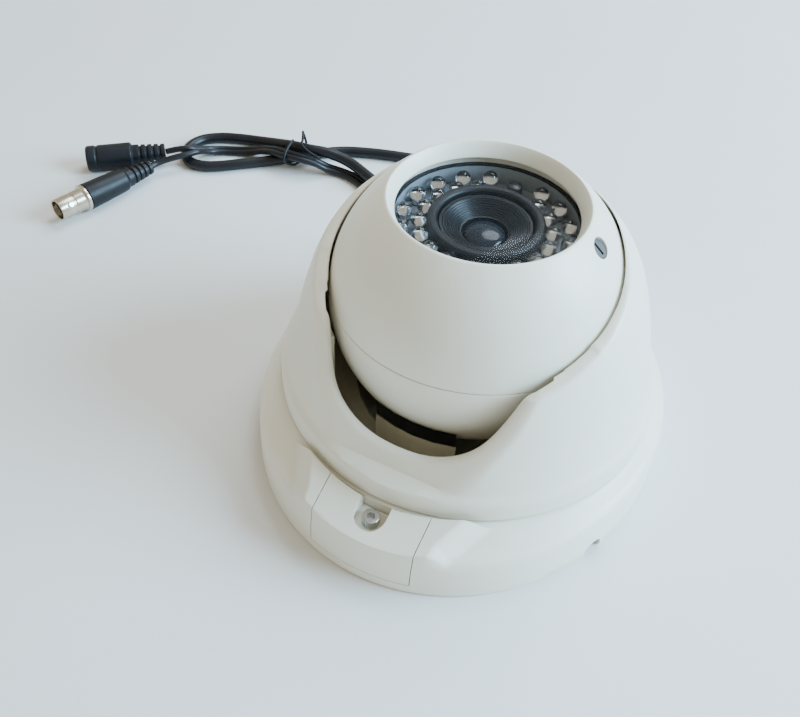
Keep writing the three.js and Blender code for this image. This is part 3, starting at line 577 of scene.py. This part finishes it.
def base_solid():
    turns = fine_turns(-90, 34, 0.3, 1.5)
    wall = (BASE_HALF[0] - WALL_THICK, BASE_HALF[1] - WALL_THICK)
    opening = [(YOKE_HOLE_R + 0.3, BASE_TOP), (YOKE_HOLE_R, BASE_TOP - 0.3), (YOKE_HOLE_R, LEDGE_Z)]
    bearing = [
        (BEARING_OUTER, FLOOR_HIGH), (BEARING_OUTER, BEARING_TOP), (BEARING_INNER, BEARING_TOP),
        (BEARING_INNER, FLOOR_HIGH), (CENTRE_HOLE_R, FLOOR_HIGH), (CENTRE_HOLE_R, FLOOR_LOW),
    ]
    inside = [
        *[(r, r, z) for r, z in opening], (*wall, LEDGE_Z), (*wall, FLOOR_HIGH),
        *[(r, r, z) for r, z in bearing], (*wall, FLOOR_LOW), (*wall, 0),
    ]
    rings = base_outside_rings(turns) + [oval_ring(*row, turns) for row in inside]
    return grid("base", rings, close_rows=True)


def under_boss(depth):
    """Everything below the boss's sloping top, lowered by the depth."""
    half_space = block((-60, -60, -60), (60, 60, 0))
    return place(half_space, (0, -64, BOSS_AT_YOKE - depth), (0, -BOSS_SLOPE, 1))


def door_plan(grow):
    plan = block((-DOOR_HALF - grow, -100, DOOR_SILL - grow), (DOOR_HALF + grow, -55, 40))
    return cut(plan, disc(64.9 - grow, 0, 50, 160))


def behind_door(depth):
    """What stays behind the door's panel, with room for the screw recess."""
    solid = common(tub(1, -1, 40, depth), under_boss(depth + 0.6))
    reach = 5 + depth
    return cut(solid, block((-reach, -75.5 - depth, RECESS_FLOOR - depth), (reach, -50, 40)))


def door_recess():
    end = [polar(RECESS_R, 180 + 9 * i) for i in range(21)]
    outline = [(x, y + SCREW_Y) for x, y in end] + [(RECESS_R, -60), (-RECESS_R, -60)]
    return prism(outline, RECESS_FLOOR, 40)


def cable_notch(degrees):
    """Arch through the wall's foot for the cable, in the given direction."""
    arch = disc(3.6, 40, 95, 40)
    join(arch, block((-0.1, -3.6, 40), (4, 3.6, 95)))
    arch.data.transform(Matrix.Rotation(math.radians(90), 4, "Y"))
    arch.data.transform(Matrix.Rotation(math.radians(degrees), 4, "Z"))
    return place(arch, (0, 0, 2.0))


def make_base():
    base = base_solid()
    join(base, place(disc(4.2, 7, 13, 32), (0, SCREW_Y, 0)),
         *[place(disc(6, 0, 6.5, 40), (*spot, 0)) for spot in MOUNT_HOLES])
    cut(base, cut(door_plan(DOOR_GAP), behind_door(DOOR_THICK + DOOR_GAP)),
        cable_notch(-29.5), cable_notch(150.5),
        place(disc(1.9, 9, 30, 24), (0, SCREW_Y, 0)),
        *[place(disc(2.3, -1, 10, 24), (*spot, 0)) for spot in MOUNT_HOLES],
        *[place(disc(1.3, 10, 20, 16), (*spot, 0)) for spot in RETAINER_HOLES])
    dress(smooth(base), "ivory_housing", "base", "base_housing")


def make_door():
    turns = fine_turns(-90, 34, 0.3, 1.5)
    rings = [[(0, 0, 0)], *base_outside_rings(turns), [(0, 0, BASE_TOP)]]
    door = grid("door", rings, close_rows=False)
    common(door, door_plan(0))
    cut(door, behind_door(DOOR_THICK), door_recess(), place(disc(1.9, 9, 30, 24), (0, SCREW_Y, 0)))
    dress(smooth(door), "ivory_housing", "door", "access_door")

    head_low = RECESS_FLOOR + DOOR_GAP
    screw = lathe("door_cap_screw", [
        (0, RECESS_FLOOR - 6.5), (1.5, RECESS_FLOOR - 6.5), (1.5, head_low), (2.8, head_low),
        (2.8, head_low + 3), (0, head_low + 3),
    ], 48, 0.3)
    flats = prism([polar(1.45, 60 * i) for i in range(6)], RECESS_FLOOR + 1.8, 30)
    knurls = [place(prism([polar(0.16, 90 * i) for i in range(4)], head_low - 0.1, head_low + 2.5),
                    (*polar(2.82, 15 * i), 0)) for i in range(24)]
    cut(screw, flats, *knurls)
    dress(smooth(place(screw, (0, SCREW_Y, 0))), "steel", "door", "door_screw")


# ------------------------------------------------------------ yoke cover
BELL = [  # (height, radius) outside
    (22, 64), (28.6, 64), (29.8, 63.2), (31.2, 61.9), (42, 58.8), (53, 56.3), (63.5, 53.2), (70.5, 50.4),
    (76.8, 46.9), (82.8, 42), (88.2, 36.4), (91, 32),
]
HOLLOW = [(22, 61.4), (29.2, 61.4), (31.4, 59.4), (42, 56.2), (53, 53.7), (60.5, 51.9), (65.5, 48.6)]
U_CUT = [  # (half width, height) of the cut through the front
    (0, 35.6), (7, 36.1), (13, 37.6), (19.2, 40.7), (23.6, 44.6), (26.8, 49.5), (30, 57), (32.6, 64.3),
    (34.6, 69.5), (38, 75), (44, 100),
]
# (height, distance in front of the axis) of the sloping front
FRONT_PLANE = [(28.8, 66), (30.6, 58.5), (98, 58.5 - 67.4 * 22 / 39)]
TOP_AT_AXIS = 77.5
TOP_SLOPE = 0.36
RIM_ROUND = 1.3
THINNEST = 0.6  # of the wall; where the bell would be thinner than this, it ends
SKIRT_ROWS = [22, 22.3, 24.5, 27, 28.3, 28.9, 29.5, 30.2, 31, 32, 33.5]  # heights outside, near the foot
FOOT_ROWS = [29.2, 25, 22]  # heights inside, near the foot
HOLLOW_FOOT = 31.4
COVER_SCREWS = [polar(56.4, a) for a in (45, 135, 225, 315)]


def soft_min(a, b, width):
    """The smaller of two values, blended where they are within the width."""
    mix = np.clip(0.5 + 0.5 * (b - a) / width, 0, 1)
    return b + (a - b) * mix - width * mix * (1 - mix)


def front_limit(z, turn, inset):
    """Radius at which the sloping front plane meets this direction."""
    heights, reach = zip(*FRONT_PLANE)
    distance = np.where(z < heights[0], 200, np.interp(z, heights, reach)) - inset
    facing = np.maximum(-np.sin(turn), 0.05)
    return distance / facing


def bell_radius(z, turn):
    heights, radii = zip(*BELL)
    spread = [np.interp(z + d, heights, radii) for d in (-0.9, -0.45, 0, 0.45, 0.9)]
    bell = np.minimum(np.mean(spread, axis=0), np.interp(z, heights, radii))
    return np.minimum(soft_min(bell, front_limit(z, turn, 0), 1.6), bell)


def collar_radius(z):
    """Radius of the spherical collar round the ball at this height."""
    return np.sqrt(np.maximum(COLLAR_R ** 2 - (z - BALL_Z) ** 2, 1))


def hollow_radius(z, turn):
    heights, radii = zip(*HOLLOW)
    inner = np.minimum(np.interp(z, heights, radii), front_limit(z, turn, 3.0))
    collar = collar_radius(z)
    inner = np.where(z < heights[-1], np.maximum(inner, collar), collar)
    return np.minimum(inner, bell_radius(z, turn) - THINNEST)


def top_of(radius_at, turn):
    """Height at which the wall ends in this direction: at the sloping top, the U-cut or where it gets thin."""
    z = np.arange(34.0, 92.0, 0.05)
    radius = radius_at(z, turn)
    x, y = np.abs(radius * np.cos(turn)), radius * np.sin(turn)
    outline = spline(U_CUT, 8)
    half = np.interp(z, [p[1] for p in outline], [p[0] for p in outline], left=-1)
    thin = bell_radius(z, turn) < collar_radius(z) + THINNEST
    open_here = (z > TOP_AT_AXIS + TOP_SLOPE * y) | ((x < half) & (y < 0)) | ((z > BALL_Z) & thin)
    return z[int(np.argmax(open_here))]


def soften(values, reach):
    """Running mean of values right round."""
    return np.mean([np.roll(values, k) for k in range(-reach, reach + 1)], axis=0)


def cover_column(turn, top_out, top_in):
    """Closed profile of (radius, height) of the cover's wall in one direction."""
    rise = top_out - RIM_ROUND - SKIRT_ROWS[-1]
    climb = [SKIRT_ROWS[-1] + rise * k / 26 for k in range(1, 27)]
    outer = [(float(bell_radius(np.float64(z), turn)), z) for z in SKIRT_ROWS + climb]
    fall = top_in - RIM_ROUND - HOLLOW_FOOT
    descend = [top_in - RIM_ROUND - fall * k / 18 for k in range(19)]
    inner = [(float(hollow_radius(np.float64(z), turn)), z) for z in descend + FOOT_ROWS]
    outer_edge = Vector((float(bell_radius(np.float64(top_out), turn)), top_out))
    inner_edge = Vector((float(hollow_radius(np.float64(top_in), turn)), top_in))
    across = inner_edge - outer_edge
    pull = min(RIM_ROUND, 0.45 * across.length) / across.length
    corners = []
    for start, corner, end in (
        (Vector(outer[-1]), outer_edge, outer_edge + across * pull),
        (inner_edge - across * pull, inner_edge, Vector(inner[0])),
    ):
        for k in range(1, 5):
            t = k / 5
            corners.append(tuple(start * (1 - t) ** 2 + corner * (2 * t * (1 - t)) + end * t ** 2))
    return outer + corners + inner


def make_yoke_cover():
    turns = fine_turns(-90, 66, 0.5, 1.5)
    tops_out = np.array([top_of(bell_radius, a) for a in turns])
    tops_in = np.clip([top_of(hollow_radius, a) for a in turns], tops_out - 3.5, tops_out + 0.3)
    tops_out, tops_in = soften(tops_out, 2), soften(tops_in, 4)
    columns = [cover_column(a, o, i) for a, o, i in zip(turns, tops_out, tops_in)]
    rings = [
        [(column[row][0] * math.cos(a), column[row][0] * math.sin(a), column[row][1])
         for a, column in zip(turns, columns)]
        for row in range(len(columns[0]))
    ]
    cover = grid("bell_cover", rings, close_rows=True)
    posts = [place(disc(3, 16.8, 40, 32), (*spot, 0)) for spot in COVER_SCREWS]
    space = lathe("tool", [(0, 10), (61.9, 10), (61.9, 29.2), (59.8, 31.4), (56.6, 42), (0, 42)], 96)
    join(posts[0], *posts[1:])
    join(cover, common(posts[0], space))
    cut(cover, *[place(disc(1.3, 0, 28, 16), (*spot, 0)) for spot in COVER_SCREWS])
    dress(smooth(cover), "ivory_housing", "yoke", "yoke_cover")


# ------------------------------------------------------------ ball shells
BOARD_SCREWS = [polar(33, a) for a in (30, 150, 270)]
PORTS = {"focus": (47.6, 1, 40.4), "zoom": (58.0, -1, 48.7)}  # degrees off the lens axis, side, lean


def through_port(made, name):
    tilt, side, lean = PORTS[name]
    mouth = polar(BALL_R, 90 - tilt)
    heading = polar(1, 90 - lean)
    return place(made, (side * mouth[0], 0, mouth[1]), (side * heading[0], 0, heading[1]))


def make_rear_shell():
    low, top = -40, SEAM_H - 0.15
    shell = lathe("rear_ball_shell", [
        (0, low), *arc(BALL_R, low, top, 40), *arc(BALL_INNER + 1.5, top, top - 1.9, 2),
        *arc(BALL_INNER, top - 1.9, low + 3, 24), (0, low + 3),
    ], 160, 0.25)
    join(shell, *[place(disc(2.4, 46.3, 50.4, 32), (0, 0, 0), (s, 0, 0)) for s in (1, -1)])
    cut(shell, disc(4.6, low - 2, low + 6, 40))
    dress(smooth(on_ball(shell)), "ivory_housing", "rear_ball", "rear_shell")


def make_front_shell():
    low = SEAM_H + 0.15
    window = WINDOW_TOP - BALL_Z
    shell = lathe("front_ball_shell", [
        *arc(BALL_R, low, 36.3, 36), (30.1, 36.55), (29.2, 35.4), (27.75, window + 1.1),
        (27.6, window + 0.3), (29.6, window + 0.3), (29.6, 28.0), *arc(BALL_INNER, 28.0, low, 20),
    ], 160, 0.3)
    board = BOARD_TOP - BALL_Z
    join(shell, through_port(disc(4.6, -5, -1.5, 40), "zoom"),
         *[place(disc(2.6, board + 0.3, 29, 24), (*spot, 0)) for spot in BOARD_SCREWS])
    for name in PORTS:
        cut(shell, through_port(disc(3.3, -2.6, 6, 64), name), through_port(disc(1.45, -16, -2, 32), name))
    cut(shell, *[place(disc(1.2, 15, 27, 16), (*spot, 0)) for spot in BOARD_SCREWS])
    dress(smooth(on_ball(shell)), "ivory_housing", "front_ball", "front_shell")


# ------------------------------------------------------------ window, LEDs and lens
LED_RINGS = [(20.3, 18, 0), (25.4, 18, 10)]  # radius, count, first direction
LED_R = 2.4
BEZEL_GROOVES = 8
CELL_AT = polar(23.0, 90)


def led_places():
    spots = [polar(r, first + 360 / count * i) for r, count, first in LED_RINGS for i in range(count)]
    return [p for p in spots if math.dist(p, CELL_AT) > 5.6]


def repeated(name, profile, segments, spots):
    """One mesh of the same turned body at several places."""
    parts = [place(lathe("tool", profile, segments), (x, y, 0)) for x, y in spots]
    work = bmesh.new()
    for part in parts:
        work.from_mesh(part.data)
        bpy.data.objects.remove(part)
    mesh = bpy.data.meshes.new(name)
    work.to_mesh(mesh)
    work.free()
    made = bpy.data.objects.new(name, mesh)
    bpy.context.scene.collection.objects.link(made)
    return made


def make_window():
    top = WINDOW_TOP - BALL_Z
    glass = lathe("window_pane", [(0, top - 2), (29.2, top - 2), (29.2, top), (0, top)], 160, 0.2)
    dress(smooth(on_ball(glass)), "clear_window", "front_ball", "window_glass")


def make_leds():
    base = BOARD_TOP - BALL_Z + 0.3
    plate = [(18.4, base), (27.8, base), (27.8, base + 0.9), (18.4, base + 0.9)]
    carrier = lathe("led_carrier", plate, 128, 0.15)
    cut(carrier, block((24.3, -1.7, 0), (35, 1.7, 40)), place(disc(3.0, 15, 30, 40), (*CELL_AT, 0)))
    dress(smooth(on_ball(carrier)), "grey_plastic", "front_ball", "led_array")

    dome = [(LED_R * math.cos(a), base + 4.3 + 2.15 * math.sin(a)) for a in np.radians(range(0, 90, 15))]
    body = [(0, base + 1.0), (LED_R - 0.05, base + 1.0), *dome, (0, base + 6.45)]
    leds = smooth(on_ball(repeated("leds", body, 24, led_places())), math.radians(50))
    dress(leds, "clear_led", "front_ball")
    cup = [
        (0, base + 1.6), (0.7, base + 1.6), (1.7, base + 3.0), (1.9, base + 3.0), (1.9, base + 1.2),
        (0, base + 1.2),
    ]
    cups = smooth(on_ball(repeated("led_cups", cup, 16, led_places())))
    dress(cups, "nickel", "front_ball", material=BRIGHT_CUP)

    cell = [
        (0, base), (2.6, base), (2.6, base + 4.4), (2.3, base + 5.0), (1.4, base + 5.35), (0, base + 5.4),
    ]
    photocell = place(lathe("light_cell", cell, 40, 0.2), (*CELL_AT, 0))
    dress(smooth(on_ball(photocell)), "chip", "front_ball", "photocell")


def make_led_seat():
    top = BOARD_TOP - BALL_Z
    tube = [(28.2, top + 0.3), (29.4, top + 0.3), (29.4, 28.2), (28.2, 28.2)]
    holder = lathe("led_liner", tube, 160, 0.15)
    cut(holder, block((25, -1.7, 0), (35, 1.7, 27.2)))
    dress(smooth(on_ball(holder)), "grey_plastic", "front_ball", "led_holder")


def make_lens_front():
    low = BOARD_TOP - BALL_Z + 0.3
    wall = [(15.6, low), (17.9, low), (17.9, 28.2), (17.2, 28.9), (15.4, 28.9), (14.7, 28.2)]
    hood = lathe("hood_ring", wall, 128, 0.5)
    dress(smooth(on_ball(hood)), "black_rubber", "front_ball", "lens_hood")

    bezel = [(7.2, 22.3), (13.0, 22.3), (13.0, 27.2)]
    for i in range(BEZEL_GROOVES):
        r, h = 12.7 - i * 0.68, 27.2 - i * 0.4
        bezel += [(r, h), (r - 0.34, h - 0.5)]
    bezel.append((7.2, 23.8))
    dress(smooth(on_ball(lathe("grooved_bezel", bezel, 128))), "black_lens", "front_ball", "lens_bezel")

    crown = [(6.7 * math.cos(a), 22.2 + 2.7 * math.sin(a)) for a in np.radians(range(0, 90, 9))]
    glass = lathe("front_glass", [(0, 15.0), (6.7, 15.0), *crown, (0, 24.9)], 96)
    dress(smooth(on_ball(glass)), "clear_window", "front_ball", "front_element", material=COATED_GLASS)


# ------------------------------------------------------------ CAD nodes that stay
def smooth_by_angle():
    """Geometry nodes that shade everything smooth but the sharp edges."""
    group = bpy.data.node_groups.new("smooth_by_angle", "GeometryNodeTree")
    group.interface.new_socket("Geometry", in_out="INPUT", socket_type="NodeSocketGeometry")
    group.interface.new_socket("Geometry", in_out="OUTPUT", socket_type="NodeSocketGeometry")
    nodes, links = group.nodes, group.links
    faces = nodes.new("GeometryNodeSetShadeSmooth")
    faces.domain = "FACE"
    edges = nodes.new("GeometryNodeSetShadeSmooth")
    edges.domain = "EDGE"
    edges.inputs["Shade Smooth"].default_value = False
    sharp = nodes.new("FunctionNodeCompare")
    sharp.operation = "GREATER_THAN"
    sharp.inputs[1].default_value = SMOOTH_ANGLE
    angle = nodes.new("GeometryNodeInputMeshEdgeAngle")
    links.new(angle.outputs[0], sharp.inputs[0])
    links.new(sharp.outputs[0], edges.inputs["Selection"])
    links.new(nodes.new("NodeGroupInput").outputs[0], faces.inputs["Geometry"])
    links.new(faces.outputs[0], edges.inputs["Geometry"])
    links.new(edges.outputs[0], nodes.new("NodeGroupOutput").inputs[0])
    return group


def dress_cad_nodes():
    """Rounds the edges of the CAD nodes and gives each its slot's finish."""
    group = smooth_by_angle()
    slots = {row["node"]: row["material_slot"] for row in frame["record"]["subparts"]}
    for name, made in frame["nodes"].items():
        for place_in in made.material_slots:
            place_in.material = MATERIALS[slots[name]]
        edge = made.modifiers.new("edge", "BEVEL")
        edge.width = 0.15 * MM
        edge.segments = 2
        edge.limit_method = "ANGLE"
        edge.angle_limit = math.radians(40)
        made.modifiers.new("smooth", "NODES").node_group = group


# ------------------------------------------------------------ floor and lights
def make_floor():
    reach = 3000
    steps = 24
    line = [-reach + 2 * reach * k / steps for k in range(steps + 1)]
    points = [(x, y, -0.05) for y in line for x in line]
    row = steps + 1
    faces = [(j * row + i, j * row + i + 1, (j + 1) * row + i + 1, (j + 1) * row + i)
             for j in range(steps) for i in range(steps)]
    floor = new_object("floor", points, faces)
    floor.data.materials.append(FLOOR)


def area_light(name, position, size, power, color):
    data = bpy.data.lights.new(name, "AREA")
    data.shape = "DISK"
    data.size = size
    data.energy = power
    data.color = color
    lamp = bpy.data.objects.new(name, data)
    lamp.location = position
    lamp.rotation_euler = (Vector((0, 0, 0.04)) - Vector(position)).to_track_quat("-Z", "Y").to_euler()
    bpy.context.scene.collection.objects.link(lamp)


def make_light():
    world = bpy.data.worlds.new("world")
    world.use_nodes = True
    world.node_tree.nodes["Background"].inputs["Color"].default_value = (1.0, 0.935, 0.76, 1)
    world.node_tree.nodes["Background"].inputs["Strength"].default_value = 0.72
    bpy.context.scene.world = world
    area_light("key", (1.05, 0.35, 0.62), 0.8, 58, (0.47, 0.75, 1.0))
    area_light("top", (0.1, 0.9, 1.3), 1.0, 22, (0.74, 0.88, 1.0))


make_camera()
make_cords()
make_base()
make_door()
make_yoke_cover()
make_rear_shell()
make_front_shell()
make_window()
make_led_seat()
make_leds()
make_lens_front()
dress_cad_nodes()
make_floor()
make_light()
